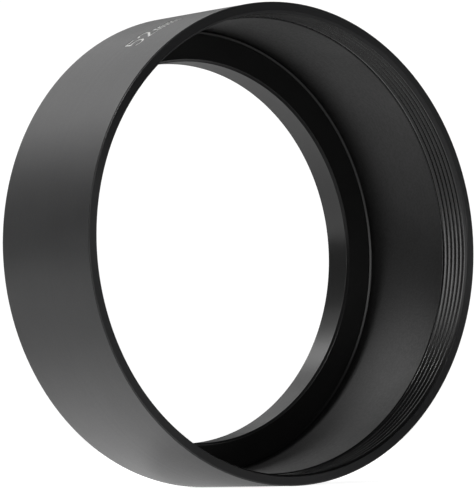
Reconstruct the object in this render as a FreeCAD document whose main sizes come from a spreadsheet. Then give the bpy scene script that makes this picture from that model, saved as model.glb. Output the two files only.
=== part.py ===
import FreeCAD, Part
import math
import os

import Sketcher

# Straight screw-in lens hood, turned from aluminium and anodised black.
#
# Frame: the optical axis is the Y axis. The hood looks along -Y and screws into the lens along +Y.
# +Z is up. The origin is the centre of the lens seat, the flat ring that stops against the lens.
#
# Three pieces: the barrel, the mount ring that sits in the back of it, and the enamel in the
# engraved size marking. A depth is a distance behind the plane of the front rim.

SIZES = [
    ("front_thread_diameter", 58.0, "major diameter of the female thread in the rim"),
    ("rim_wall", 1.0, "barrel wall outside the front thread"),
    ("barrel_length", 20.9, "front rim to lens seat"),
    ("thread_pitch", 0.75, "pitch of both threads"),
    ("front_thread_length", 4.45, "rim to the end of the threaded stretch"),
    ("bore_step", 0.19, "smooth bore inside the thread's crest"),
    ("entry_chamfer", 0.32, "chamfer that leads into the front thread"),
    ("edge_break", 0.12, "outer edge of the rim"),
    ("shoulder_chamfer", 1.95, "45 degree shoulder at the back of the barrel"),
    ("shoulder_blend", 0.8, "radius between the barrel and the shoulder"),
    ("lip_thickness", 1.0, "rear lip that the mount ring seats on"),
    ("lens_thread_diameter", 52.0, "major diameter of the male thread"),
    ("collar_length", 2.3, "threaded collar behind the lens seat"),
    ("collar_wall", 1.2, "collar wall inside the thread's root"),
    ("collar_chamfer", 0.25, "lead-in at the collar's free end"),
    ("relief_width", 0.4, "thread relief next to the lens seat"),
    ("neck_step", 0.6, "neck radius beyond the lens thread"),
    ("flange_thickness", 0.9, "mount ring's flange"),
    ("flange_clearance", 0.1, "flange to barrel bore, on the radius"),
    ("flange_rim_height", 0.18, "raised edge round the flange's front face"),
    ("flange_rim_land", 0.05, "flat on top of the raised edge"),
    ("aperture_chamfer", 0.3, "front edge of the light opening"),
    ("aperture_break", 0.12, "back edge of the light opening"),
    ("marking_height", 2.7, "height of the engraved figures"),
    ("marking_depth", 0.15, "depth of the engraving"),
    ("marking_stroke", 0.36, "width of the engraved line"),
    ("marking_spacing", 2.08, "figure to figure, round the barrel"),
    ("marking_setback", 8.55, "front rim to the middle of the figures"),
    ("marking_turn", -26.7, "degrees from straight up to the middle of the marking"),
    ("enamel_recess", 0.03, "enamel surface below the barrel"),
]

# Sizes that follow from the driving ones, written once and bound wherever they are used.
CREST_DEPTH = "0.5413 * Sizes.thread_pitch"
FRONT_ROOT = "Sizes.front_thread_diameter / 2"
FRONT_CREST = "(%s - %s)" % (FRONT_ROOT, CREST_DEPTH)
BARREL_RADIUS = "(%s + Sizes.rim_wall)" % FRONT_ROOT
BORE_RADIUS = "(%s - Sizes.bore_step)" % FRONT_CREST
SEAT_RADIUS = "(%s - Sizes.shoulder_chamfer)" % BARREL_RADIUS
SHOULDER_DEPTH = "(Sizes.barrel_length - Sizes.shoulder_chamfer)"
LIP_DEPTH = "(Sizes.barrel_length - Sizes.lip_thickness)"
LENS_CREST = "(Sizes.lens_thread_diameter / 2)"
LENS_ROOT = "(%s - %s)" % (LENS_CREST, CREST_DEPTH)
APERTURE_RADIUS = "(%s - Sizes.collar_wall)" % LENS_ROOT
NECK_RADIUS = "(%s + Sizes.neck_step)" % LENS_CREST
FLANGE_RADIUS = "(%s - Sizes.flange_clearance)" % BORE_RADIUS
FLANGE_DEPTH = "(%s - Sizes.flange_thickness)" % LIP_DEPTH
FLANGE_RIM_DEPTH = "(%s - Sizes.flange_rim_height)" % FLANGE_DEPTH
FLANGE_RIM_TOP = "(%s - Sizes.flange_rim_land)" % FLANGE_RADIUS
FLANGE_RIM_FOOT = "(%s - Sizes.flange_rim_height)" % FLANGE_RIM_TOP
COLLAR_END = "(Sizes.barrel_length + Sizes.collar_length)"
RELIEF_END = "(Sizes.barrel_length + Sizes.relief_width)"

# Figures of the marking, drawn with a round-nosed engraving cutter in a cell 0.6 wide and 1 high.
# Each piece is a line, given by its ends, or an arc, given by its start, middle and end.
FIGURES = {
    "5": [((0.55, 1.0), (0.1, 1.0)),
          ((0.1, 1.0), (0.06, 0.56)),
          ((0.06, 0.56), (0.28, 0.63), (0.46, 0.555)),
          ((0.46, 0.555), (0.57, 0.32), (0.46, 0.085)),
          ((0.46, 0.085), (0.24, 0.0), (0.02, 0.1))],
    "2": [((0.05, 0.8), (0.3, 1.0), (0.55, 0.76)),
          ((0.55, 0.76), (0.53, 0.63), (0.46, 0.52)),
          ((0.46, 0.52), (0.04, 0.0)),
          ((0.04, 0.0), (0.57, 0.0))],
    "m": [((0.04, 0.0), (0.04, 0.62)),
          ((0.04, 0.44), (0.17, 0.6), (0.3, 0.44)),
          ((0.3, 0.44), (0.3, 0.0)),
          ((0.3, 0.44), (0.43, 0.6), (0.56, 0.44)),
          ((0.56, 0.44), (0.56, 0.0))],
}
FIGURE_WIDTH = 0.6
MARKING = "52mm"


def make_sheet(doc):
    """Spreadsheet of driving dimensions: name, value and note in each row."""
    sheet = doc.addObject("Spreadsheet::Sheet", "Sizes")
    for row, (alias, value, note) in enumerate(SIZES, start=1):
        sheet.set("A%d" % row, alias)
        sheet.set("B%d" % row, str(value))
        sheet.setAlias("B%d" % row, alias)
        sheet.set("C%d" % row, note)
    doc.recompute()
    return sheet


def number(sheet, expression):
    """Value of an expression on the sheet, as a plain number."""
    value = sheet.evalExpression(expression)
    return float(getattr(value, "Value", value))


def make_body(doc, label):
    body = doc.addObject("PartDesign::Body", label)
    body.Label = label
    return body


def make_section(doc, sheet, body, name, corners):
    """Closed half-section on the body's XY plane: each corner is a radius and a depth."""
    plane = next(item for item in body.Origin.OriginFeatures if item.Role == "XY_Plane")
    sketch = body.newObject("Sketcher::SketchObject", name)
    sketch.AttachmentSupport = (plane, [""])
    sketch.MapMode = "FlatFace"
    sketch.setExpression(".AttachmentOffset.Base.y", "-Sizes.barrel_length")
    points = [FreeCAD.Vector(number(sheet, r), number(sheet, d), 0) for r, d in corners]
    for index, start in enumerate(points):
        end = points[(index + 1) % len(points)]
        sketch.addGeometry(Part.LineSegment(start, end), False)
    for index in range(len(points)):
        following = (index + 1) % len(points)
        sketch.addConstraint(Sketcher.Constraint("Coincident", index, 2, following, 1))
    for index, (radius, depth) in enumerate(corners):
        for axis, size, value in (("X", radius, points[index].x), ("Y", depth, points[index].y)):
            constraint = Sketcher.Constraint("Distance" + axis, -1, 1, index, 1, value)
            constraint_id = sketch.addConstraint(constraint)
            constraint_name = "corner%d%s" % (index, axis.lower())
            sketch.renameConstraint(constraint_id, constraint_name)
            sketch.setExpression("Constraints." + constraint_name, size)
    doc.recompute()
    return sketch


def turn(doc, body, sketch, name):
    """Revolve a half-section once round the optical axis."""
    turning = body.newObject("PartDesign::Revolution", name)
    turning.Profile = sketch
    turning.ReferenceAxis = (sketch, ["V_Axis"])
    turning.Angle = 360.0
    doc.recompute()
    return turning


def circle_edge(feature, radius, height):
    """Name of the feature's circular edge with this radius, at this place on the Y axis."""
    for index, edge in enumerate(feature.Shape.Edges, start=1):
        if isinstance(edge.Curve, Part.Circle):
            same_radius = abs(edge.Curve.Radius - radius) < 1e-4
            if same_radius and abs(edge.Curve.Center.y - height) < 1e-4:
                return "Edge%d" % index
    raise RuntimeError("%s has no edge of radius %.3f at %.3f" % (feature.Name, radius, height))


def dress_edge(doc, sheet, body, base, kind, name, radius, depth, size):
    """Fillet or chamfer one circular edge of the base feature."""
    height = number(sheet, depth) - number(sheet, "Sizes.barrel_length")
    dressing = body.newObject("PartDesign::" + kind, name)
    dressing.Base = (base, [circle_edge(base, number(sheet, radius), height)])
    dressing.setExpression("Radius" if kind == "Fillet" else "Size", size)
    doc.recompute()
    return dressing


def cut_thread(doc, body, base, sketch, name, length):
    """Cut a right-hand thread: the groove's section carried rearwards along a helix."""
    thread = body.newObject("PartDesign::SubtractiveHelix", name)
    thread.Profile = sketch
    thread.ReferenceAxis = (sketch, ["V_Axis"])
    thread.Mode = 0
    thread.setExpression("Pitch", "Sizes.thread_pitch")
    thread.setExpression("Height", length)
    thread.LeftHanded = False
    # Each turn of the crest stays a face of its own.
    thread.Refine = False
    doc.recompute()
    if thread.Shape.Volume >= base.Shape.Volume - 1.0:
        raise RuntimeError("%s cut nothing" % name)
    return thread


def groove_corners(crest, root, start, root_flat, outward):
    """Section of a 60 degree thread groove that opens a little past the crest."""
    slope = math.tan(math.radians(30.0))
    overrun = "0.06 * Sizes.thread_pitch"
    reach = "(%s + %s)" % (CREST_DEPTH, overrun)
    mouth = "(%s %s %s)" % (crest, "+" if outward else "-", overrun)
    half_root = "(%s * Sizes.thread_pitch / 2)" % root_flat
    half_mouth = "(%s + %.6f * %s)" % (half_root, slope, reach)
    return [
        (root, "%s - %s" % (start, half_root)),
        (root, "%s + %s" % (start, half_root)),
        (mouth, "%s + %s" % (start, half_mouth)),
        (mouth, "%s - %s" % (start, half_mouth)),
    ]


def make_barrel(doc, sheet):
    """Turned barrel: threaded front, smooth bore, rear lip and chamfered shoulder."""
    body = make_body(doc, "barrel_turning")
    section = make_section(doc, sheet, body, "barrel_section", [
        (BARREL_RADIUS, "0"),
        (BARREL_RADIUS, SHOULDER_DEPTH),
        (SEAT_RADIUS, "Sizes.barrel_length"),
        (NECK_RADIUS, "Sizes.barrel_length"),
        (NECK_RADIUS, LIP_DEPTH),
        (BORE_RADIUS, LIP_DEPTH),
        (BORE_RADIUS, "Sizes.front_thread_length"),
        (FRONT_CREST, "Sizes.front_thread_length"),
        (FRONT_CREST, "0"),
    ])
    last = turn(doc, body, section, "barrel_revolution")
    last = dress_edge(doc, sheet, body, last, "Fillet", "shoulder_fillet",
                      BARREL_RADIUS, SHOULDER_DEPTH, "Sizes.shoulder_blend")
    last = dress_edge(doc, sheet, body, last, "Chamfer", "rim_chamfer",
                      BARREL_RADIUS, "0", "Sizes.edge_break")
    last = dress_edge(doc, sheet, body, last, "Chamfer", "thread_entry",
                      FRONT_CREST, "0", "Sizes.entry_chamfer")
    # The first groove stands just inside the chamfer; the cut starts two turns ahead of the rim.
    start = "(1.14 * Sizes.thread_pitch - 2 * Sizes.thread_pitch)"
    run = "(Sizes.front_thread_length - 0.3 * Sizes.thread_pitch - %s)" % start
    groove = make_section(doc, sheet, body, "front_groove",
                          groove_corners(FRONT_CREST, FRONT_ROOT, start, "0.125", False))
    body.Tip = cut_thread(doc, body, last, groove, "front_thread", run)
    return body


def make_mount_ring(doc, sheet):
    """Mount ring: flange in the barrel, neck through the lip, threaded collar for the lens."""
    body = make_body(doc, "mount_ring")
    section = make_section(doc, sheet, body, "mount_ring_section", [
        (FLANGE_RADIUS, FLANGE_RIM_DEPTH),
        (FLANGE_RADIUS, LIP_DEPTH),
        (NECK_RADIUS, LIP_DEPTH),
        (NECK_RADIUS, "Sizes.barrel_length"),
        (LENS_ROOT, "Sizes.barrel_length"),
        (LENS_ROOT, RELIEF_END),
        (LENS_CREST, "%s + %s" % (RELIEF_END, CREST_DEPTH)),
        (LENS_CREST, "%s - Sizes.collar_chamfer" % COLLAR_END),
        ("%s - Sizes.collar_chamfer" % LENS_CREST, COLLAR_END),
        ("%s + Sizes.aperture_break" % APERTURE_RADIUS, COLLAR_END),
        (APERTURE_RADIUS, "%s - Sizes.aperture_break" % COLLAR_END),
        (APERTURE_RADIUS, "%s + Sizes.aperture_chamfer" % FLANGE_DEPTH),
        ("%s + Sizes.aperture_chamfer" % APERTURE_RADIUS, FLANGE_DEPTH),
        (FLANGE_RIM_FOOT, FLANGE_DEPTH),
        (FLANGE_RIM_TOP, FLANGE_RIM_DEPTH),
    ])
    turning = turn(doc, body, section, "mount_ring_revolution")
    start = "(%s + 0.5 * Sizes.thread_pitch)" % RELIEF_END
    run = "(%s + Sizes.thread_pitch - %s)" % (COLLAR_END, start)
    groove = make_section(doc, sheet, body, "lens_groove",
                          groove_corners(LENS_CREST, LENS_ROOT, start, "0.25", True))
    body.Tip = cut_thread(doc, body, turning, groove, "lens_thread", run)
    return body


def piece_face(points, width):
    """Flat outline of one line or arc of a figure, widened to the cutter's width, ends round."""
    first = points[0]
    last = points[-1]
    centre = Part.Arc(*points).toShape().Curve.Center if len(points) == 3 else None
    sides = []
    for offset in (width / 2, -width / 2):
        if centre is None:
            normal = (last - first).cross(FreeCAD.Vector(0, 0, 1)).normalize()
            sides.append([point + normal * offset for point in points])
        else:
            sides.append([point + (point - centre).normalize() * offset for point in points])
    caps = []
    for end, beyond, side in ((first, points[1], 0), (last, points[-2], -1)):
        across = sides[0][side] - sides[1][side]
        along = across.cross(FreeCAD.Vector(0, 0, 1)).normalize() * (width / 2)
        tip = end + along if along.dot(beyond - end) < 0 else end - along
        caps.append(Part.Arc(sides[0][side], tip, sides[1][side]).toShape())
    edges = []
    for side in sides:
        curve = Part.LineSegment(*side) if centre is None else Part.Arc(*side)
        edges.append(curve.toShape())
    return Part.Face(Part.Wire(Part.__sortEdges__(edges + caps)))


def figure_solid(figure, height, width, depth):
    """One figure as a prism that stands on its own flat floor."""
    prisms = []
    for piece in FIGURES[figure]:
        points = [FreeCAD.Vector((x - FIGURE_WIDTH / 2) * height, (y - 0.5) * height, 0)
                  for x, y in piece]
        prisms.append(piece_face(points, width).extrude(FreeCAD.Vector(0, 0, depth)))
    if len(prisms) == 1:
        return prisms[0]
    return prisms[0].multiFuse(prisms[1:]).removeSplitter()


def make_marking_cutter(doc, sheet):
    """All the engraved figures as prisms, each square to the barrel at its own place."""
    height = number(sheet, "Sizes.marking_height")
    width = number(sheet, "Sizes.marking_stroke")
    depth = number(sheet, "Sizes.marking_depth")
    radius = number(sheet, BARREL_RADIUS)
    setback = number(sheet, "Sizes.marking_setback - Sizes.barrel_length")
    spacing = math.degrees(number(sheet, "Sizes.marking_spacing") / radius)
    middle = number(sheet, "Sizes.marking_turn")
    cell = FreeCAD.Placement(FreeCAD.Vector(0, setback, radius - depth), FreeCAD.Rotation())
    prisms = []
    for index, figure in enumerate(MARKING):
        shape = figure_solid(figure, height, width, 2 * depth)
        angle = middle + spacing * (index - (len(MARKING) - 1) / 2)
        turned = FreeCAD.Placement(FreeCAD.Vector(), FreeCAD.Rotation(FreeCAD.Vector(0, 1, 0), angle))
        shape.Placement = turned.multiply(cell)
        prisms.append(shape)
    cutter = doc.addObject("Part::Feature", "marking_cutter")
    cutter.Shape = Part.makeCompound(prisms)
    return cutter


def engrave(doc, barrel, cutter):
    """The finished barrel: the turning less the engraved marking."""
    hood_barrel = doc.addObject("Part::Cut", "hood_barrel")
    hood_barrel.Label = "hood_barrel"
    hood_barrel.Base = barrel
    hood_barrel.Tool = cutter
    doc.recompute()
    return hood_barrel


def make_marking_infill(doc, cutter):
    """Enamel that fills the engraving to just below the barrel's surface."""
    envelope = doc.addObject("Part::Cylinder", "enamel_envelope")
    envelope.setExpression("Radius", "%s - Sizes.enamel_recess" % BARREL_RADIUS)
    envelope.setExpression("Height", "Sizes.barrel_length")
    envelope.Placement.Rotation = FreeCAD.Rotation(FreeCAD.Vector(1, 0, 0), 90)
    infill = doc.addObject("Part::Common", "marking_infill")
    infill.Label = "marking_infill"
    infill.Base = cutter
    infill.Tool = envelope
    doc.recompute()
    return infill


def check(doc, pieces):
    """Stop if any object failed or any piece is empty or broken."""
    for item in doc.Objects:
        if "Invalid" in item.State or "Error" in item.State:
            raise RuntimeError("%s failed to build" % item.Label)
    for piece in pieces:
        if piece.Shape.isNull() or not piece.Shape.isValid() or not piece.Shape.Solids:
            raise RuntimeError("%s has no sound shape" % piece.Label)


def main():
    doc = FreeCAD.newDocument("lens_hood")
    sheet = make_sheet(doc)
    barrel = make_barrel(doc, sheet)
    mount_ring = make_mount_ring(doc, sheet)
    cutter = make_marking_cutter(doc, sheet)
    hood_barrel = engrave(doc, barrel, cutter)
    infill = make_marking_infill(doc, cutter)
    doc.recompute()
    pieces = [hood_barrel, mount_ring, infill]
    check(doc, pieces)
    os.makedirs("parts", exist_ok=True)
    for piece in pieces:
        piece.Shape.exportStep(os.path.join("parts", piece.Label + ".step"))
        print(piece.Label, "solids", len(piece.Shape.Solids), "volume %.1f" % piece.Shape.Volume)


main()
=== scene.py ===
"""Screw-in lens hood in satin black anodised aluminium, laid out as a Blender add-on.

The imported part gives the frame. Each visible piece is a surface of two parameters worked out with
numpy: a section outline carried once round the optical axis (the Y axis), with the screw threads
and the engraved marking worked into the same grid.
"""

import math
import typing

import bpy
import numpy as np
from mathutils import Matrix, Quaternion, Vector


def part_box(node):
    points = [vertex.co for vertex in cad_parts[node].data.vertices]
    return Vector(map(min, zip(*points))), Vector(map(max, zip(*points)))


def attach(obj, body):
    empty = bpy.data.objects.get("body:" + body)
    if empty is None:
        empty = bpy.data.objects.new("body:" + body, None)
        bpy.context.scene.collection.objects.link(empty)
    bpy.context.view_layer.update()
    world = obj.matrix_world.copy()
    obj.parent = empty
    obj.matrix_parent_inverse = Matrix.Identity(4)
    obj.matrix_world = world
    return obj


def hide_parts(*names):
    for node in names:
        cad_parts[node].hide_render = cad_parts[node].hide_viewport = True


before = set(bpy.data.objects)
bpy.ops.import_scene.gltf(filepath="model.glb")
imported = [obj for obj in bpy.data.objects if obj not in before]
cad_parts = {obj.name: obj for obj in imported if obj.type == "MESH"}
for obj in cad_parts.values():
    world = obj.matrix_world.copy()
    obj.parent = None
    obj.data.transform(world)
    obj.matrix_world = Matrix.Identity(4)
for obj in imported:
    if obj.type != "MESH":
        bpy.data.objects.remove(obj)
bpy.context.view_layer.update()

bl_info = {
    "name": "Lens hood",
    "version": (1, 0, 0),
    "blender": (4, 5, 0),
    "location": "View3D > Sidebar > Lens Hood",
    "description": "Turned, anodised screw-in lens hood with an engraved size marking",
    "category": "Add Mesh",
}

MM = 0.001

# Section and thread shapes.
SMALL_EDGE = 0.03 * MM
SURFACE_TOLERANCE = 1e-7
HALF_FLANK_ANGLE = math.radians(30)
THREAD_TIP_BLEND = 0.02 * MM
RUNOUT_TURNS = 0.05
RUNOUT_DEPTHS = 1.5
FRONT_ROOT_FLAT = 0.125
LENS_ROOT_FLAT = 0.25
FRONT_THREAD_LEAD = 0.86
FRONT_THREAD_TAIL = 0.3

# Grid spacing. The cells are finest over the engraved marking.
FINE_ROW = 0.055 * MM
FINE_COLUMN = 0.058 * MM
FINE_CELL = 0.057 * MM
COARSE_COLUMNS = 170
RING_COLUMNS = 300

# Engraving and enamel.
FAR_AWAY = 1.0
SLOPE_STEP = 0.002 * MM
SMALLEST_SLOPE = 0.25
SNAP_REACH = 0.52
ENGRAVING_WALL = 0.045 * MM
ENGRAVING_ROUNDNESS = 0.7
ENAMEL_DIP = 0.02 * MM
ENAMEL_BED = 0.004 * MM
CELL_WIDTH = 0.6

# Finishes.
ANODISED_IOR = 1.7
TINT_SPREAD = 0.2
GLOSS_SPREAD = 0.05
GRAIN_IN_GLOSS = 0.6
MIDDLE_GRAIN = 0.8
ENAMEL_IOR = 1.5
ENAMEL_FINENESS = 0.7
ENAMEL_TINT = (0.86, 1.05)
ENAMEL_GLOSS = (0.3, 0.42)
ENAMEL_RIPPLE = 0.01 * MM

# Studio.
PANEL_DISTANCE = 0.7
FLOOR_HALF = 3.0
FLOOR_SEEN = 1.02
# Painted shadow: how much darker the camera sees the floor where the painted light patch lies.
PAINTED_POOL_SHADOW = 0.25
BACKGROUND = 1.05

BARREL_LOW, BARREL_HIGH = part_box("hood_barrel")
RING_LOW, RING_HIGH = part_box("mount_ring")


def distance(name, value, description):
    """A length property, in metres."""
    return bpy.props.FloatProperty(name=name, description=description, default=value, min=0.0,
                                   unit="LENGTH", subtype="DISTANCE", precision=5)


def share(name, value, description):
    """A plain number from 0 to 1."""
    return bpy.props.FloatProperty(name=name, description=description, default=value,
                                   min=0.0, max=1.0)


def number(name, value, description):
    """A plain number with no unit."""
    return bpy.props.FloatProperty(name=name, description=description, default=value)


def angle(name, degrees, description):
    """An angle property, given in degrees and kept in radians."""
    return bpy.props.FloatProperty(name=name, description=description,
                                   default=math.radians(degrees), unit="ROTATION",
                                   subtype="ANGLE")


def colour(name, value, description):
    """A linear colour property."""
    return bpy.props.FloatVectorProperty(name=name, description=description, default=value,
                                         size=3, min=0.0, max=1.0, subtype="COLOR")


class HoodSizes(bpy.types.PropertyGroup):
    """Sizes of the turned pieces. A depth is a distance behind the plane of the front rim."""

    outer_radius: distance("Outer radius", BARREL_HIGH.x, "Outside of the barrel")
    barrel_length: distance("Barrel length", BARREL_HIGH.y - BARREL_LOW.y, "Rim to lens seat")
    rim_wall: distance("Rim wall", 1.0 * MM, "Barrel wall outside the front thread")
    thread_pitch: distance("Thread pitch", 0.75 * MM, "Pitch of both threads")
    thread_depth: distance("Thread depth", 0.406 * MM, "Crest to root of both threads")
    front_thread_length: distance("Front thread", 4.45 * MM, "Rim to the end of the thread")
    bore_step: distance("Bore step", 0.19 * MM, "Smooth bore inside the thread's crest")
    entry_chamfer: distance("Entry chamfer", 0.32 * MM, "Lead-in of the front thread")
    edge_break: distance("Edge break", 0.12 * MM, "Outer edge of the rim")
    shoulder_chamfer: distance("Shoulder", 1.95 * MM, "45 degree shoulder at the back")
    shoulder_blend: distance("Shoulder blend", 0.8 * MM, "Radius between barrel and shoulder")
    lip_thickness: distance("Lip", 1.0 * MM, "Rear lip under the mount ring's flange")
    collar_length: distance("Collar", RING_HIGH.y, "Threaded collar behind the lens seat")
    lens_thread_radius: distance("Lens thread", 26.0 * MM, "Crest of the male thread")
    collar_wall: distance("Collar wall", 1.2 * MM, "Collar wall inside the thread's root")
    collar_chamfer: distance("Collar chamfer", 0.25 * MM, "Lead-in at the collar's end")
    relief_width: distance("Relief", 0.4 * MM, "Thread relief next to the lens seat")
    neck_step: distance("Neck step", 0.6 * MM, "Neck radius beyond the lens thread")
    flange_thickness: distance("Flange", 0.9 * MM, "Thickness of the mount ring's flange")
    flange_radius: distance("Flange radius", RING_HIGH.x, "Outside of the mount ring's flange")
    flange_rim_height: distance("Flange rim", 0.18 * MM, "Raised edge round the flange")
    flange_rim_land: distance("Flange rim land", 0.05 * MM, "Flat on top of the raised edge")
    aperture_chamfer: distance("Opening chamfer", 0.3 * MM, "Front edge of the light opening")
    aperture_break: distance("Opening break", 0.12 * MM, "Back edge of the light opening")
    seam_gap: distance("Seam gap", 0.012 * MM, "Hairline between barrel and mount ring")


class MarkingSizes(bpy.types.PropertyGroup):
    """Sizes of the engraved size marking on the barrel."""

    height: distance("Height", 2.7 * MM, "Height of the figures")
    stroke: distance("Stroke", 0.36 * MM, "Width of the engraved line")
    depth: distance("Depth", 0.15 * MM, "Depth of the engraving")
    spacing: distance("Spacing", 2.08 * MM, "Figure to figure, round the barrel")
    setback: distance("Setback", 8.55 * MM, "Rim to the middle of the figures")
    turn: angle("Turn", -26.7, "From straight up to the middle of the marking")
    enamel_recess: distance("Enamel recess", 0.03 * MM, "Enamel below the barrel's surface")


class HoodFinish(bpy.types.PropertyGroup):
    """Colours and textures of the finishes."""

    outside: colour("Outside", (0.030, 0.030, 0.031), "Satin anodised outside")
    bore: colour("Bore", (0.008, 0.008, 0.008), "Matte black inside")
    rim: colour("Rim", (0.013, 0.013, 0.014), "Anodised front rim")
    thread: colour("Thread", (0.012, 0.012, 0.012), "Anodised thread")
    ring: colour("Mount ring", (0.005, 0.005, 0.005), "Anodised mount ring")
    enamel: colour("Enamel", (0.94, 0.94, 0.92), "White marking enamel")
    outside_roughness: share("Outside roughness", 0.40, "Roughness of the outside")
    bore_roughness: share("Bore roughness", 0.52, "Roughness of the bore")
    rim_roughness: share("Rim roughness", 0.48, "Roughness of the front rim")
    thread_roughness: share("Thread roughness", 0.24, "Roughness of the thread")
    ring_roughness: share("Ring roughness", 0.30, "Roughness of the mount ring")
    grain_size: distance("Grain size", 0.16 * MM, "Width of a blasted dimple")
    tool_line_pitch: distance("Tool line pitch", 0.11 * MM, "Spacing of the turning lines")


class StudioSetup(bpy.types.PropertyGroup):
    """Camera and lights. The camera looks along its azimuth, which turns from +Y towards +X."""

    azimuth: angle("Azimuth", 36.853, "Heading of the camera's view")
    elevation: angle("Elevation", -2.625, "Camera above the optical axis, looking down")
    roll: angle("Roll", 1.966, "Clockwise tilt of the camera")
    camera_distance: distance("Camera distance", 481.16 * MM, "Camera to the aim point")
    aim_height: distance("Aim height", 0.49 * MM, "Aim point above the optical axis")
    lens: number("Lens", 282.05, "Focal length in millimetres on a 36 mm frame")
    key_power: number("Key light", 1.95, "Power of the panel high behind on the left, in watts")
    camera_power: number("Camera light", 1.15, "Power of the panel beside the camera, in watts")
    back_row_power: number("Back row", 0.24, "Power of each panel above and behind, in watts")
    overhead_power: number("Overhead panel", 0.25, "Power of the panel overhead, in watts")
    low_power: number("Low panel", 0.10, "Power of the low panel behind, in watts")
    front_power: number("Front panel", 0.02, "Power of the panel front right, in watts")
    # The floor's glow is painted light: the floor lights the hood as a lamp would, most in a patch
    # under the hood's back.
    painted_floor_glow: number("Floor glow", 0.88, "Light that the pale floor gives off under the hood")
    painted_far_floor_glow: number("Far floor glow", 0.025, "Light that the floor gives off far away")
    painted_glow_radius: distance("Glow radius", 36 * MM, "Reach of the brighter floor")
    painted_glow_setback: distance("Glow setback", 12 * MM, "Middle of the brighter floor behind the seat")


# ---------------------------------------------------------------- section outlines


def rounded_outline(corners, arc_steps=5, guard=0.05 * MM):
    """Closed section outline as (radius, depth, zone) rows, from its corners.

    A corner is (radius, depth, fillet, steps, zone). Each corner is replaced by an arc of its fillet
    radius, tangent to both sides, in arc_steps parts. The straight that follows it is divided
    into steps parts and belongs to the zone. A guard row stands close to each end of a straight,
    so that a flat face keeps its own shading beside a small fillet.
    """
    points = np.array([corner[:2] for corner in corners], float)
    arcs = []
    for index, (_, _, fillet, _, _) in enumerate(corners):
        here = points[index]
        back = points[index - 1] - here
        ahead = points[(index + 1) % len(points)] - here
        back /= np.linalg.norm(back)
        ahead /= np.linalg.norm(ahead)
        if fillet == 0:
            arcs.append(here[None, :])
            continue
        half = math.acos(np.clip(back @ ahead, -1, 1)) / 2
        middle = (back + ahead) / np.linalg.norm(back + ahead)
        centre = here + middle * fillet / math.sin(half)
        start = here + back * fillet / math.tan(half) - centre
        sweep = math.pi - 2 * half
        if start[0] * (-middle[1]) + start[1] * middle[0] > 0:
            sweep = -sweep
        turns = np.linspace(0, sweep, arc_steps + 1)
        cosines, sines = np.cos(turns), np.sin(turns)
        arcs.append(centre + np.stack([start[0] * cosines - start[1] * sines,
                                       start[0] * sines + start[1] * cosines], axis=1))
    rows = []
    for index, (_, _, fillet, steps, zone) in enumerate(corners):
        begin = arcs[index][-1]
        end = arcs[(index + 1) % len(arcs)][0]
        length = np.linalg.norm(end - begin)
        shares = np.linspace(0, 1, steps + 1)[1:-1]
        if length > 4 * guard:
            shares = np.unique(np.concatenate([shares, [guard / length, 1 - guard / length]]))
        straight = begin + shares[:, None] * (end - begin)
        piece = np.concatenate([arcs[index], straight])
        rows.append(np.column_stack([piece, np.full(len(piece), zone)]))
    return np.concatenate(rows)


# Zones of a section, which become the faces' material slots.
OUTSIDE, RIM, THREAD, BORE, BACK = range(5)


def barrel_outline(hood, marking):
    """Barrel section, from the rim's outer edge over the outside, the back and the inside."""
    root = hood.outer_radius - hood.rim_wall
    crest = root - hood.thread_depth
    bore = crest - hood.bore_step
    length = hood.barrel_length
    shoulder = length - hood.shoulder_chamfer
    seat = hood.outer_radius - hood.shoulder_chamfer
    lip = length - hood.lip_thickness
    hole = hood.lens_thread_radius + hood.neck_step + hood.seam_gap
    margin = marking.height / 2 + marking.stroke
    marking_steps = int(round(2 * margin / FINE_ROW))
    small = SMALL_EDGE
    return rounded_outline([
        (hood.outer_radius - hood.edge_break, 0, small, 2, OUTSIDE),
        (hood.outer_radius, hood.edge_break, small, 3, OUTSIDE),
        (hood.outer_radius, marking.setback - margin, 0, marking_steps, OUTSIDE),
        (hood.outer_radius, marking.setback + margin, 0, 5, OUTSIDE),
        (hood.outer_radius, shoulder, hood.shoulder_blend, 3, BACK),
        (seat, length, 2 * small, 2, BACK),
        (hole + 2 * small, length, small / 2, 1, BACK),
        (hole, length - 2 * small, small / 2, 1, BACK),
        (hole, lip + hood.seam_gap, 0, 1, BACK),
        (bore, lip + hood.seam_gap, 0, 6, BORE),
        (bore, hood.front_thread_length, small, 1, THREAD),
        (crest, hood.front_thread_length, small, 88, THREAD),
        (crest, hood.entry_chamfer, 0, 8, RIM),
        (crest + hood.entry_chamfer, 0, small, 3, RIM),
    ])


def ring_outline(hood):
    """Mount ring section, from the flange's outer edge over the back, the opening and the front."""
    root = hood.lens_thread_radius - hood.thread_depth
    crest = hood.lens_thread_radius
    opening = root - hood.collar_wall
    length = hood.barrel_length
    lip = length - hood.lip_thickness
    neck = crest + hood.neck_step
    face = lip - hood.flange_thickness
    top = face - hood.flange_rim_height
    end = length + hood.collar_length
    relief = length + hood.relief_width
    rim_top = hood.flange_radius - hood.flange_rim_land
    small = SMALL_EDGE
    return rounded_outline([
        (hood.flange_radius, top, small, 1, OUTSIDE),
        (hood.flange_radius, lip, 0, 1, BACK),
        (neck, lip, 0, 1, BACK),
        (neck, length - 2 * small, small / 2, 1, BACK),
        (neck - 2 * small, length, small / 2, 1, BACK),
        (root, length, 2 * small, 2, THREAD),
        (root, relief, small, 8, THREAD),
        (crest, relief + hood.thread_depth, 0, 26, THREAD),
        (crest, end - hood.collar_chamfer, 0, 6, THREAD),
        (crest - hood.collar_chamfer, end, small, 2, RIM),
        (opening + hood.aperture_break, end, small, 2, BORE),
        (opening, end - hood.aperture_break, small, 4, BORE),
        (opening, face + hood.aperture_chamfer, 2 * small, 2, OUTSIDE),
        (opening + hood.aperture_chamfer, face, 2 * small, 6, OUTSIDE),
        (rim_top - hood.flange_rim_height, face, 3 * small, 3, OUTSIDE),
        (rim_top, top, 0.8 * small, 1, OUTSIDE),
    ])


# ---------------------------------------------------------------- threads and marking


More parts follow.
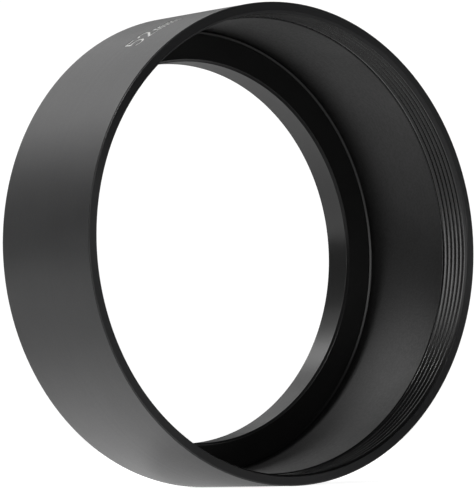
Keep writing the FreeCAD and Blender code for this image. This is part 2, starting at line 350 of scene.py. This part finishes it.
def groove_radius(hood, depth, theta, root, start, turns, root_flat, outward):
    """Radius of a right-hand 60 degree thread groove at each depth and angle round the axis.

    The groove's middle lies at start plus the pitch times the turns made from +X, clockwise seen
    from the front. Its root is flat over a share of the pitch, the root_flat. Away from it the
    flank leaves the root by the distance divided by the tangent of 30 degrees. Past its last turn
    the groove runs out over a twentieth of a turn.
    """
    pitch = hood.thread_pitch
    swept = (-theta / (2 * np.pi)) % 1.0
    lap = np.round((depth - start) / pitch - swept)
    offset = np.abs(depth - start - pitch * (lap + swept))
    beyond = np.clip((lap + swept - turns) / RUNOUT_TURNS, 0, 1)
    runout = beyond + np.where(lap + swept < 0, 1.0, 0.0)
    flank = np.maximum(offset - root_flat * pitch / 2, 0) / math.tan(HALF_FLANK_ANGLE)
    rise = flank + runout * RUNOUT_DEPTHS * hood.thread_depth
    return root + rise if outward else root - rise


def smooth_extreme(a, b, blend, largest):
    """Larger or smaller of two arrays, with the corner between them rounded over blend."""
    bridge = np.sqrt((a - b) ** 2 + blend ** 2)
    return (a + b + bridge) / 2 if largest else (a + b - bridge) / 2


# Figures, in a cell 0.6 wide and 1 high. A piece is a line, by its ends, or an arc, by three points.
FIGURES = {
    "5": [((0.55, 1.0), (0.1, 1.0)),
          ((0.1, 1.0), (0.06, 0.56)),
          ((0.06, 0.56), (0.28, 0.63), (0.46, 0.555)),
          ((0.46, 0.555), (0.57, 0.32), (0.46, 0.085)),
          ((0.46, 0.085), (0.24, 0.0), (0.02, 0.1))],
    "2": [((0.05, 0.8), (0.3, 1.0), (0.55, 0.76)),
          ((0.55, 0.76), (0.53, 0.63), (0.46, 0.52)),
          ((0.46, 0.52), (0.04, 0.0)),
          ((0.04, 0.0), (0.57, 0.0))],
    "m": [((0.04, 0.0), (0.04, 0.62)),
          ((0.04, 0.44), (0.17, 0.6), (0.3, 0.44)),
          ((0.3, 0.44), (0.3, 0.0)),
          ((0.3, 0.44), (0.43, 0.6), (0.56, 0.44)),
          ((0.56, 0.44), (0.56, 0.0))],
}
MARKING = "52mm"


def line_distance(points, first, last):
    """Distance from each point to a line between two points."""
    along = last - first
    share_along = np.clip(((points - first) @ along) / (along @ along), 0, 1)
    return np.linalg.norm(points - first - share_along[..., None] * along, axis=-1)


def arc_distance(points, first, middle, last):
    """Distance from each point to the arc through three points.

    The centre is where the bisectors of the two chords cross. Inside the arc's angle the distance
    is the difference of radii, elsewhere it is the distance to the nearer end.
    """
    chords = 2 * np.array([middle - first, last - middle])
    centre = np.linalg.solve(chords, [middle @ middle - first @ first,
                                      last @ last - middle @ middle])
    radius = np.linalg.norm(first - centre)
    facing = middle - centre
    limit = min((first - centre) @ facing, (last - centre) @ facing) / radius
    offset = points - centre
    reach = np.linalg.norm(offset, axis=-1)
    inside = (offset @ facing) >= limit * np.maximum(reach, 1e-9)
    ends = np.minimum(np.linalg.norm(points - first, axis=-1),
                      np.linalg.norm(points - last, axis=-1))
    return np.where(inside, np.abs(reach - radius), ends)


def marking_distance(marking, radius, depth, theta):
    """Distance from the edge of the engraved line at each depth and angle, negative inside it.

    The surface is laid flat: across is the arc length from the marking's middle, up is the depth.
    Each figure's pieces are measured in its own cell, and the nearest piece counts.
    """
    heading = np.pi / 2 - marking.turn
    across = ((heading - theta + np.pi) % (2 * np.pi) - np.pi) * radius
    flat = np.stack([across, depth - marking.setback], axis=-1)
    nearest = np.full(depth.shape, FAR_AWAY)
    for index, figure in enumerate(MARKING):
        middle = (index - (len(MARKING) - 1) / 2) * marking.spacing
        for piece in FIGURES[figure]:
            ends = [np.array([(x - CELL_WIDTH / 2) * marking.height + middle,
                              (y - 0.5) * marking.height])
                    for x, y in piece]
            measure = arc_distance if len(ends) == 3 else line_distance
            nearest = np.minimum(nearest, measure(flat, *ends))
    return nearest - marking.stroke / 2


def snap_to_edge(marking, radius, depth, theta, cell):
    """Moves grid points that lie near the engraved edge onto it, along the distance's slope."""
    step = SLOPE_STEP
    away = marking_distance(marking, radius, depth, theta)
    slope_depth = (marking_distance(marking, radius, depth + step, theta) - away) / step
    slope_theta = (marking_distance(marking, radius, depth, theta + step / radius) - away) / step
    size = np.maximum(slope_depth ** 2 + slope_theta ** 2, SMALLEST_SLOPE)
    near = np.abs(away) < SNAP_REACH * cell
    depth = np.where(near, depth - away * slope_depth / size, depth)
    theta = np.where(near, theta - away * slope_theta / size / radius, theta)
    away = marking_distance(marking, radius, depth, theta)
    return depth, theta, np.where(near, 0.0, away)


# ---------------------------------------------------------------- meshes


def put_mesh(name, vertices, faces, slots=None):
    """Mesh object at the origin, with its faces turned outwards by the sign of its volume."""
    mesh = bpy.data.meshes.new(name)
    a, b, c = (vertices[faces[:, k]] for k in range(3))
    volume = np.einsum("ij,ij->i", a, np.cross(b, c)).sum()
    if faces.shape[1] == 4:
        d = vertices[faces[:, 3]]
        volume += np.einsum("ij,ij->i", a, np.cross(c, d)).sum()
    if volume < 0:
        faces = faces[:, ::-1]
    mesh.from_pydata(vertices, [], faces.tolist())
    if slots is not None:
        mesh.polygons.foreach_set("material_index", slots.astype(np.int32))
    mesh.polygons.foreach_set("use_smooth", np.ones(len(mesh.polygons), bool))
    mesh.validate()
    mesh.update()
    piece = bpy.data.objects.new(name, mesh)
    bpy.context.scene.collection.objects.link(piece)
    return piece


def ring_grid(radius, depth, theta, length):
    """Points of a turned surface: radius and angle give X and Z, and depth less length gives Y."""
    return np.stack([radius * np.cos(theta), depth - length, radius * np.sin(theta)],
                    axis=-1).reshape(-1, 3)


def ring_faces(rows, columns):
    """Four-sided faces of a grid that is closed both round the section and round the axis."""
    row, column = np.meshgrid(np.arange(rows), np.arange(columns), indexing="ij")
    below = (row + 1) % rows
    right = (column + 1) % columns
    corners = [row * columns + column, row * columns + right,
               below * columns + right, below * columns + column]
    return np.stack(corners, axis=-1).reshape(-1, 4)


def barrel_angles(hood, marking, fine_step, coarse_count):
    """Angles round the barrel: fine steps across the marking and even coarse steps elsewhere."""
    half = (len(MARKING) * marking.spacing / 2 + marking.stroke) / hood.outer_radius
    middle = math.pi / 2 - marking.turn
    fine_count = int(round(2 * half * hood.outer_radius / fine_step))
    fine = np.linspace(middle - half, middle + half, fine_count + 1)
    coarse = np.linspace(middle + half, middle - half + 2 * math.pi, coarse_count + 1)[1:-1]
    return np.concatenate([fine, coarse])


def barrel_grid(hood, marking):
    """Radius, depth, angle, edge distance and zones of the whole barrel on one grid.

    Rows follow the section and columns go round the axis. Rows on the outside near the marking
    are pressed in by the engraving, and rows on the rim and thread are cut by the helical groove.
    """
    outline = barrel_outline(hood, marking)
    theta = barrel_angles(hood, marking, FINE_COLUMN, COARSE_COLUMNS)
    radius = np.repeat(outline[:, :1], len(theta), axis=1)
    depth = np.repeat(outline[:, 1:2], len(theta), axis=1)
    theta = np.repeat(theta[None, :], len(outline), axis=0)
    zone = outline[:, 2].astype(int)

    on_cylinder = np.abs(outline[:, 0] - hood.outer_radius) < SURFACE_TOLERANCE
    outer = (zone == OUTSIDE) & on_cylinder
    away = np.full(radius.shape, FAR_AWAY)
    snapped = snap_to_edge(marking, hood.outer_radius, depth[outer], theta[outer], FINE_CELL)
    depth[outer], theta[outer], away[outer] = snapped
    wall = np.clip(-away / ENGRAVING_WALL, 0, 1)
    radius -= marking.depth * wall ** ENGRAVING_ROUNDNESS

    root = hood.outer_radius - hood.rim_wall
    pitch = hood.thread_pitch
    start = -FRONT_THREAD_LEAD * pitch
    turns = (hood.front_thread_length - FRONT_THREAD_TAIL * pitch - start) / pitch
    cut = (zone == THREAD) | (zone == RIM)
    cut &= outline[:, 0] < root
    groove = groove_radius(hood, depth[cut], theta[cut], root, start, turns,
                           FRONT_ROOT_FLAT, False)
    radius[cut] = smooth_extreme(radius[cut], groove, THREAD_TIP_BLEND, True)
    return radius, depth, theta, away, zone


def make_barrel(hood, marking):
    """The whole barrel: its section grid carried once round the axis."""
    radius, depth, theta, _, zone = barrel_grid(hood, marking)
    rows, columns = radius.shape
    points = ring_grid(radius, depth, theta, hood.barrel_length)
    slots = np.repeat(zone, columns)
    return put_mesh("barrel", points, ring_faces(rows, columns), slots)


def make_ring(hood):
    """The mount ring: its outline carried once round the axis, with the collar's groove cut in."""
    outline = ring_outline(hood)
    turns_round = np.linspace(0, 2 * np.pi, RING_COLUMNS, endpoint=False)
    theta = np.repeat(turns_round[None, :], len(outline), axis=0)
    radius = np.repeat(outline[:, :1], RING_COLUMNS, axis=1)
    depth = np.repeat(outline[:, 1:2], RING_COLUMNS, axis=1)
    zone = outline[:, 2].astype(int)
    root = hood.lens_thread_radius - hood.thread_depth
    relief = hood.barrel_length + hood.relief_width
    start = relief + 0.5 * hood.thread_pitch
    turns = (hood.collar_length + hood.thread_pitch) / hood.thread_pitch
    cut = (zone == THREAD) & (outline[:, 1] > relief) | (zone == RIM)
    groove = groove_radius(hood, depth[cut], theta[cut], root, start, turns,
                           LENS_ROOT_FLAT, True)
    radius[cut] = smooth_extreme(radius[cut], groove, THREAD_TIP_BLEND, False)
    points = ring_grid(radius, depth, theta, hood.barrel_length)
    return put_mesh("lens_mount_ring", points, ring_faces(len(outline), RING_COLUMNS),
                    np.repeat(zone, RING_COLUMNS))


def make_enamel(hood, marking):
    """Enamel in the engraving: the grid cells inside the engraved edge, closed top and bottom.

    The top is a shallow meniscus a little below the barrel's surface, the bottom is the
    engraving's floor, and a wall joins them along every edge that only one cell uses.
    """
    _, depth, theta, away, _ = barrel_grid(hood, marking)
    rows = np.where((away < FAR_AWAY / 2).any(axis=1))[0]
    depth, theta, away = depth[rows], theta[rows], away[rows]
    index = np.arange(depth.size).reshape(depth.shape)
    quads = np.stack([index[:-1, :-1], index[:-1, 1:], index[1:, 1:], index[1:, :-1]],
                     axis=-1).reshape(-1, 4)
    flat_away = away.ravel()
    inside = flat_away[quads] <= 0
    sunk = (flat_away[quads] < 0).any(axis=1)
    whole = quads[inside.all(axis=1) & sunk]
    faces = [whole[:, [0, 1, 2]], whole[:, [0, 2, 3]]]
    for missing in range(4):
        kept = [k for k in range(4) if k != missing]
        part = quads[(inside.sum(axis=1) == 3) & ~inside[:, missing] & sunk]
        faces.append(part[:, kept])
    top = np.concatenate(faces)
    edges = np.concatenate([top[:, [0, 1]], top[:, [1, 2]], top[:, [2, 0]]])
    keys = edges.min(axis=1) * depth.size + edges.max(axis=1)
    _, first, count = np.unique(keys, return_index=True, return_counts=True)
    rim = edges[first[count == 1]]
    below = top[:, ::-1] + depth.size
    walls = np.concatenate([
        np.stack([rim[:, 1], rim[:, 0], rim[:, 0] + depth.size], axis=1),
        np.stack([rim[:, 1], rim[:, 0] + depth.size, rim[:, 1] + depth.size], axis=1)])
    dome = np.clip(-away / (marking.stroke / 2), 0, 1)
    dip = ENAMEL_DIP * (1 - (1 - dome) ** 2)
    upper = hood.outer_radius - marking.enamel_recess - dip
    lower = np.full(depth.shape, hood.outer_radius - marking.depth - ENAMEL_BED)
    points = np.concatenate([ring_grid(upper, depth, theta, hood.barrel_length),
                             ring_grid(lower, depth, theta, hood.barrel_length)])
    everything = np.concatenate([top, below, walls])
    used, compact = np.unique(everything, return_inverse=True)
    return put_mesh("marking_enamel", points[used], compact.reshape(-1, 3))


# ---------------------------------------------------------------- material effects


def add_node(tree, kind, **settings):
    """New node. A setting named like an input sets that input, any other sets an attribute."""
    node = tree.nodes.new(kind)
    for name, value in settings.items():
        if name in node.inputs:
            node.inputs[name].default_value = value
        else:
            setattr(node, name, value)
    return node


def combine(tree, operation, first, second):
    """Math node on two values, each a number or an output socket. Returns its output."""
    node = add_node(tree, "ShaderNodeMath", operation=operation)
    for socket, value in zip(node.inputs, (first, second)):
        if isinstance(value, bpy.types.NodeSocket):
            tree.links.new(value, socket)
        else:
            socket.default_value = value
    return node.outputs[0]


def new_group(name, inputs, outputs):
    """Shader node group with float inputs and outputs, each given as a name and a default."""
    group = bpy.data.node_groups.new(name, "ShaderNodeTree")
    for socket_name, value in inputs:
        socket = group.interface.new_socket(socket_name, in_out="INPUT",
                                            socket_type="NodeSocketFloat")
        socket.default_value = value
    for socket_name in outputs:
        group.interface.new_socket(socket_name, in_out="OUTPUT", socket_type="NodeSocketFloat")
    return group, group.nodes.new("NodeGroupInput"), group.nodes.new("NodeGroupOutput")


def blasted_grain_group(finish):
    """Bead-blasted surface: fine dimples over a slower unevenness, as height and as a mask."""
    group, given, result = new_group("blasted_grain", [("Fineness", 1.0)], ["Height", "Mask"])
    place = add_node(group, "ShaderNodeTexCoord")
    fine_scale = combine(group, "MULTIPLY", given.outputs["Fineness"], 1.0 / finish.grain_size)
    fine = add_node(group, "ShaderNodeTexNoise", Detail=2.0, Roughness=0.6)
    slow = add_node(group, "ShaderNodeTexNoise", Scale=170.0, Detail=3.0, Roughness=0.55)
    group.links.new(place.outputs["Object"], fine.inputs["Vector"])
    group.links.new(place.outputs["Object"], slow.inputs["Vector"])
    group.links.new(fine_scale, fine.inputs["Scale"])
    height = combine(group, "ADD", fine.outputs[0], combine(group, "MULTIPLY", slow.outputs[0], 0.6))
    group.links.new(height, result.inputs["Height"])
    group.links.new(slow.outputs[0], result.inputs["Mask"])
    return group


def tool_lines_group(finish):
    """Turning lines: noise that changes only along the axis and with the radius."""
    group, given, result = new_group("tool_lines", [("Spacing", 1.0)], ["Height", "Mask"])
    place = add_node(group, "ShaderNodeTexCoord")
    parts = add_node(group, "ShaderNodeSeparateXYZ")
    group.links.new(place.outputs["Object"], parts.inputs[0])
    square = [combine(group, "MULTIPLY", parts.outputs[axis], parts.outputs[axis]) for axis in "XZ"]
    radius = combine(group, "SQRT", combine(group, "ADD", *square), 0.0)
    run = combine(group, "ADD", radius, combine(group, "MULTIPLY", parts.outputs["Y"], 1.37))
    run = combine(group, "DIVIDE", run, finish.tool_line_pitch)
    run = combine(group, "DIVIDE", run, given.outputs["Spacing"])
    lines = add_node(group, "ShaderNodeTexNoise", noise_dimensions="1D", Scale=1.0, Detail=2.0)
    bands = add_node(group, "ShaderNodeTexNoise", noise_dimensions="1D", Scale=0.11, Detail=1.0)
    group.links.new(run, lines.inputs["W"])
    group.links.new(run, bands.inputs["W"])
    group.links.new(lines.outputs[0], result.inputs["Height"])
    group.links.new(bands.outputs[0], result.inputs["Mask"])
    return group


def across_turning(tree):
    """Direction on the surface that crosses the turning lines: normal cross circumference.

    The circumference runs along the Y axis crossed with the place on the piece.
    """
    place = add_node(tree, "ShaderNodeTexCoord")
    round_axis = add_node(tree, "ShaderNodeVectorMath", operation="CROSS_PRODUCT")
    round_axis.inputs[0].default_value = (0, 1, 0)
    tree.links.new(place.outputs["Object"], round_axis.inputs[1])
    geometry = add_node(tree, "ShaderNodeNewGeometry")
    across = add_node(tree, "ShaderNodeVectorMath", operation="CROSS_PRODUCT")
    tree.links.new(geometry.outputs["Normal"], across.inputs[0])
    tree.links.new(round_axis.outputs[0], across.inputs[1])
    unit = add_node(tree, "ShaderNodeVectorMath", operation="NORMALIZE")
    tree.links.new(across.outputs[0], unit.inputs[0])
    return unit.outputs[0]


class Texture(typing.NamedTuple):
    """Surface texture of an anodised finish.

    Grain and lines are heights in millimetres. Fineness multiplies the scale of the grain's noise.
    Turned is how much rougher the surface is across its turning lines than along them, speckle is
    how strongly the fine grain shows in colour and gloss, and specular is the shine's level.
    """

    grain: float
    lines: float
    fineness: float = 1.0
    turned: float = 0.0
    speckle: float = 0.0
    specular: float = 0.5


BLASTED_OUTSIDE = Texture(grain=0.004, lines=0.0008, fineness=0.6, speckle=0.8)
TURNED_RIM = Texture(grain=0.001, lines=0.0008, fineness=1.4, turned=0.8)
CUT_THREAD = Texture(grain=0.001, lines=0.0008, fineness=1.4)
BLASTED_BORE = Texture(grain=0.016, lines=0.0005, fineness=0.5, speckle=3.0, specular=0.38)
PLAIN_FLANGE = Texture(grain=0.002, lines=0.0004, specular=0.38)
TURNED_COLLAR = Texture(grain=0.001, lines=0.0008, fineness=1.4, turned=0.3)
TURNED_OPENING = Texture(grain=0.002, lines=0.0010, turned=0.8)


def spread_node(tree, low, high, value):
    """Map Range node that carries a mask from 0 and 1 to low and high. Returns its output."""
    node = add_node(tree, "ShaderNodeMapRange")
    node.inputs["To Min"].default_value = low
    node.inputs["To Max"].default_value = high
    tree.links.new(value, node.inputs["Value"])
    return node.outputs[0]


def tinted(tree, colour_value, factor):
    """Colour multiplied by a factor socket. Returns the output."""
    scaled = add_node(tree, "ShaderNodeVectorMath", operation="SCALE")
    scaled.inputs[0].default_value = colour_value
    tree.links.new(factor, scaled.inputs["Scale"])
    return scaled.outputs[0]


def bumped(tree, height, depth):
    """Normal of a surface raised by a height socket times a depth. Returns the output."""
    bump = add_node(tree, "ShaderNodeBump", Strength=1.0, Distance=depth)
    tree.links.new(height, bump.inputs["Height"])
    return bump.outputs[0]


def new_material(name, ior):
    """Material with a Principled shader of the given index of refraction."""
    material = bpy.data.materials.new(name)
    material.use_nodes = True
    shader = material.node_tree.nodes["Principled BSDF"]
    shader.inputs["IOR"].default_value = ior
    return material, material.node_tree, shader


def black_anodising(name, groups, colour_value, roughness, texture):
    """Anodised aluminium: dark dyed base, blasted grain and turning lines in height and gloss."""
    material, tree, shader = new_material(name, ANODISED_IOR)
    shader.inputs["Specular IOR Level"].default_value = texture.specular
    shader.inputs["Anisotropic"].default_value = texture.turned
    if texture.turned > 0:
        tree.links.new(across_turning(tree), shader.inputs["Tangent"])
    blasted = add_node(tree, "ShaderNodeGroup", node_tree=groups["grain"],
                       Fineness=texture.fineness)
    turned = add_node(tree, "ShaderNodeGroup", node_tree=groups["lines"])
    centred = combine(tree, "SUBTRACT", blasted.outputs["Height"], MIDDLE_GRAIN)
    speckled = combine(tree, "MULTIPLY", centred, texture.speckle)
    mottled = combine(tree, "ADD", blasted.outputs["Mask"], speckled)
    tint = spread_node(tree, 1 - TINT_SPREAD, 1 + TINT_SPREAD, mottled)
    tree.links.new(tinted(tree, colour_value, tint), shader.inputs["Base Color"])
    uneven = combine(tree, "ADD",
                     combine(tree, "MULTIPLY", blasted.outputs["Mask"], GRAIN_IN_GLOSS),
                     combine(tree, "MULTIPLY", turned.outputs["Mask"], 1 - GRAIN_IN_GLOSS))
    gloss = spread_node(tree, roughness - GLOSS_SPREAD, roughness + GLOSS_SPREAD,
                        combine(tree, "SUBTRACT", uneven, speckled))
    tree.links.new(gloss, shader.inputs["Roughness"])
    height = combine(tree, "ADD",
                     combine(tree, "MULTIPLY", blasted.outputs["Height"], texture.grain),
                     combine(tree, "MULTIPLY", turned.outputs["Height"], texture.lines))
    tree.links.new(bumped(tree, height, MM), shader.inputs["Normal"])
    return material


def enamel_material(finish, groups):
    """White marking enamel: faint mottling from the filling, slightly glossy."""
    material, tree, shader = new_material("white_enamel", ENAMEL_IOR)
    blasted = add_node(tree, "ShaderNodeGroup", node_tree=groups["grain"],
                       Fineness=ENAMEL_FINENESS)
    tint = spread_node(tree, *ENAMEL_TINT, blasted.outputs["Height"])
    tree.links.new(tinted(tree, finish.enamel, tint), shader.inputs["Base Color"])
    gloss = spread_node(tree, *ENAMEL_GLOSS, blasted.outputs["Mask"])
    tree.links.new(gloss, shader.inputs["Roughness"])
    normal = bumped(tree, blasted.outputs["Height"], ENAMEL_RIPPLE)
    tree.links.new(normal, shader.inputs["Normal"])
    return material


def effect_groups(finish):
    """The shared effects, made once."""
    if "blasted_grain" in bpy.data.node_groups:
        return {"grain": bpy.data.node_groups["blasted_grain"],
                "lines": bpy.data.node_groups["tool_lines"]}
    return {"grain": blasted_grain_group(finish), "lines": tool_lines_group(finish)}


def settle(piece, node):
    """The piece rides with the hood's one body and stands for its CAD node."""
    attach(piece, "root")
    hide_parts(node)


# ---------------------------------------------------------------- operators


class HOOD_OT_barrel(bpy.types.Operator):
    """Make the barrel with its front thread and the engraving of the marking"""

    bl_idname = "lens_hood.barrel"
    bl_label = "Barrel"

    def execute(self, context):
        scene = context.scene
        finish = scene.hood_finish
        groups = effect_groups(finish)
        piece = make_barrel(scene.hood_sizes, scene.hood_marking)
        outside = black_anodising("satin_black_outside", groups, finish.outside,
                                  finish.outside_roughness, BLASTED_OUTSIDE)
        rim = black_anodising("black_rim", groups, finish.rim, finish.rim_roughness, TURNED_RIM)
        thread = black_anodising("black_thread", groups, finish.thread,
                                 finish.thread_roughness, CUT_THREAD)
        bore = black_anodising("matte_black_bore", groups, finish.bore,
                               finish.bore_roughness, BLASTED_BORE)
        for material in (outside, rim, thread, bore, outside):
            piece.data.materials.append(material)
        settle(piece, "hood_barrel")
        return {"FINISHED"}


class HOOD_OT_mount_ring(bpy.types.Operator):
    """Make the mount ring with its flange, light opening and threaded collar"""

    bl_idname = "lens_hood.mount_ring"
    bl_label = "Mount ring"

    def execute(self, context):
        scene = context.scene
        finish = scene.hood_finish
        groups = effect_groups(finish)
        piece = make_ring(scene.hood_sizes)
        flange = black_anodising("black_flange", groups, finish.ring,
                                 finish.ring_roughness, PLAIN_FLANGE)
        collar = black_anodising("black_collar", groups, finish.rim,
                                 finish.rim_roughness, TURNED_COLLAR)
        opening = black_anodising("black_opening", groups, finish.ring,
                                  finish.ring_roughness, TURNED_OPENING)
        for material in (flange, collar, collar, opening, collar):
            piece.data.materials.append(material)
        settle(piece, "mount_ring")
        return {"FINISHED"}


class HOOD_OT_enamel(bpy.types.Operator):
    """Fill the engraved marking with white enamel"""

    bl_idname = "lens_hood.enamel"
    bl_label = "Marking enamel"

    def execute(self, context):
        scene = context.scene
        piece = make_enamel(scene.hood_sizes, scene.hood_marking)
        finish = scene.hood_finish
        piece.data.materials.append(enamel_material(finish, effect_groups(finish)))
        settle(piece, "marking_infill")
        return {"FINISHED"}


def make_camera(studio, sizes):
    """Camera on the view's heading, at its distance from the aim point, tilted by its roll."""
    aim = Vector((0, -sizes.barrel_length / 2, studio.aim_height))
    flat = math.cos(studio.elevation)
    heading = Vector((math.sin(studio.azimuth) * flat, math.cos(studio.azimuth) * flat,
                      -math.sin(studio.elevation)))
    camera = bpy.data.objects.new("camera", bpy.data.cameras.new("camera"))
    camera.data.sensor_width = 36.0
    camera.data.lens = studio.lens
    camera.data.clip_start = 0.01
    camera.data.clip_end = 20.0
    camera.location = aim - heading * studio.camera_distance
    turned = heading.to_track_quat("-Z", "Y") @ Quaternion((0, 0, 1), -studio.roll)
    camera.rotation_mode = "QUATERNION"
    camera.rotation_quaternion = turned
    bpy.context.scene.collection.objects.link(camera)
    bpy.context.scene.camera = camera


def heading_vector(azimuth, elevation):
    """Unit vector of an azimuth, from +Y towards +X, and an elevation, both in degrees."""
    turn, rise = math.radians(azimuth), math.radians(elevation)
    return Vector((math.sin(turn) * math.cos(rise), math.cos(turn) * math.cos(rise),
                   math.sin(rise)))


def make_panel(name, azimuth, elevation, size, power, centre):
    """Square soft light at the panels' distance from the hood, facing it."""
    lamp = bpy.data.lights.new(name, "AREA")
    lamp.size = size
    lamp.energy = power
    panel = bpy.data.objects.new(name, lamp)
    towards = heading_vector(azimuth, elevation)
    panel.location = centre + towards * PANEL_DISTANCE
    panel.rotation_mode = "QUATERNION"
    panel.rotation_quaternion = (-towards).to_track_quat("-Z", "Y")
    panel.visible_camera = False
    bpy.context.scene.collection.objects.link(panel)


def make_world():
    """White to the camera and dark to everything else, which leaves the light to the panels
    and the floor."""
    world = bpy.data.worlds.new("studio")
    world.use_nodes = True
    tree = world.node_tree
    tree.nodes.clear()
    white = add_node(tree, "ShaderNodeBackground", Color=(1, 1, 1, 1))
    path = add_node(tree, "ShaderNodeLightPath")
    strength = combine(tree, "MULTIPLY", path.outputs["Is Camera Ray"], BACKGROUND)
    tree.links.new(strength, white.inputs["Strength"])
    output = add_node(tree, "ShaderNodeOutputWorld")
    tree.links.new(white.outputs[0], output.inputs["Surface"])
    bpy.context.scene.world = world


def make_floor(level, studio):
    """Large plain pale floor just under the hood, whose glow is painted light: a painted patch of
    light, brightest under the hood's back, lights the hood from below in place of a lamp, over a
    faint even glow farther off.

    The glow falls off from its middle, set back behind the lens seat, as the exponential of minus
    the squared distance over the squared glow radius. The camera sees a brighter, nearly even glow,
    with a painted shadow where the bright patch lies.
    """
    half = FLOOR_HALF
    vertices = [(-half, -half, level), (half, -half, level), (half, half, level),
                (-half, half, level)]
    mesh = bpy.data.meshes.new("floor")
    mesh.from_pydata(vertices, [], [(0, 1, 2, 3)])
    floor = bpy.data.objects.new("floor", mesh)
    bpy.context.scene.collection.objects.link(floor)
    material = bpy.data.materials.new("pale_floor")
    material.use_nodes = True
    tree = material.node_tree
    shader = tree.nodes["Principled BSDF"]
    shader.inputs["Base Color"].default_value = (0.9, 0.9, 0.9, 1)
    shader.inputs["Roughness"].default_value = 0.9
    shader.inputs["Specular IOR Level"].default_value = 0.0
    shader.inputs["Emission Color"].default_value = (1, 1, 1, 1)
    place = add_node(tree, "ShaderNodeTexCoord")
    from_middle = add_node(tree, "ShaderNodeVectorMath", operation="SUBTRACT")
    from_middle.inputs[1].default_value = (0, studio.painted_glow_setback, level)
    tree.links.new(place.outputs["Object"], from_middle.inputs[0])
    reach = add_node(tree, "ShaderNodeVectorMath", operation="LENGTH")
    tree.links.new(from_middle.outputs[0], reach.inputs[0])
    share_away = combine(tree, "DIVIDE", reach.outputs["Value"], studio.painted_glow_radius)
    squared = combine(tree, "MULTIPLY", share_away, share_away)
    # Painted light: the floor's glow towards the hood, a patch brightest under its back.
    painted_light_pool = combine(tree, "POWER", math.exp(-1), squared)
    glow = combine(tree, "ADD", combine(tree, "MULTIPLY", painted_light_pool, studio.painted_floor_glow),
                   studio.painted_far_floor_glow)
    # Painted shadow: the camera sees the floor darker over the same patch.
    seen = combine(tree, "SUBTRACT", FLOOR_SEEN, combine(tree, "MULTIPLY", painted_light_pool, PAINTED_POOL_SHADOW))
    path = add_node(tree, "ShaderNodeLightPath")
    to_camera = path.outputs["Is Camera Ray"]
    mixed = combine(tree, "ADD", combine(tree, "MULTIPLY", to_camera, seen),
                    combine(tree, "MULTIPLY", combine(tree, "SUBTRACT", 1.0, to_camera), glow))
    tree.links.new(mixed, shader.inputs["Emission Strength"])
    mesh.materials.append(material)


class HOOD_OT_stage(bpy.types.Operator):
    """Set up the pale floor, the soft panels, the white background and the camera"""

    bl_idname = "lens_hood.stage"
    bl_label = "Studio"

    def execute(self, context):
        scene = context.scene
        studio = scene.hood_studio
        sizes = scene.hood_sizes
        centre = Vector((0, -sizes.barrel_length / 2, 0))
        make_camera(studio, sizes)
        make_floor(BARREL_LOW.z, studio)
        make_world()
        panels = (
            ("key_panel", -53, 50, 0.16, studio.key_power),
            ("camera_panel", -150, 10, 0.36, studio.camera_power),
            ("back_panel_left", -40, 36, 0.30, 1.3 * studio.back_row_power),
            ("back_panel_middle", -11, 36, 0.26, studio.back_row_power),
            ("back_panel_right", 16, 34, 0.26, studio.back_row_power),
            ("back_panel_far_right", 42, 34, 0.30, studio.back_row_power),
            ("overhead_panel", -50, 75, 0.36, studio.overhead_power),
            ("low_panel", -18, 8, 0.26, studio.low_power),
            ("front_panel", 143, 8, 0.36, studio.front_power),
        )
        for name, azimuth, elevation, size, power in panels:
            make_panel(name, azimuth, elevation, size, power, centre)
        scene.view_settings.view_transform = "Standard"
        return {"FINISHED"}


class HOOD_PT_panel(bpy.types.Panel):
    """Sidebar panel that lists the pieces and the studio"""

    bl_idname = "HOOD_PT_panel"
    bl_label = "Lens Hood"
    bl_space_type = "VIEW_3D"
    bl_region_type = "UI"
    bl_category = "Lens Hood"

    def draw(self, context):
        layout = self.layout
        for operator in ("barrel", "mount_ring", "enamel", "stage"):
            layout.operator("lens_hood." + operator)
        for group in ("hood_sizes", "hood_marking", "hood_finish", "hood_studio"):
            settings = getattr(context.scene, group)
            for name in settings.__annotations__:
                layout.prop(settings, name)


GROUPS = (
    ("hood_sizes", HoodSizes),
    ("hood_marking", MarkingSizes),
    ("hood_finish", HoodFinish),
    ("hood_studio", StudioSetup),
)
OPERATORS = (HOOD_OT_barrel, HOOD_OT_mount_ring, HOOD_OT_enamel, HOOD_OT_stage)


def register():
    for name, group in GROUPS:
        bpy.utils.register_class(group)
        setattr(bpy.types.Scene, name, bpy.props.PointerProperty(type=group))
    for operator in OPERATORS:
        bpy.utils.register_class(operator)
    bpy.utils.register_class(HOOD_PT_panel)


def unregister():
    bpy.utils.unregister_class(HOOD_PT_panel)
    for operator in reversed(OPERATORS):
        bpy.utils.unregister_class(operator)
    for name, group in reversed(GROUPS):
        delattr(bpy.types.Scene, name)
        bpy.utils.unregister_class(group)


def main():
    register()
    bpy.ops.lens_hood.barrel()
    bpy.ops.lens_hood.mount_ring()
    bpy.ops.lens_hood.enamel()
    bpy.ops.lens_hood.stage()


if __name__ == "__main__":
    main()
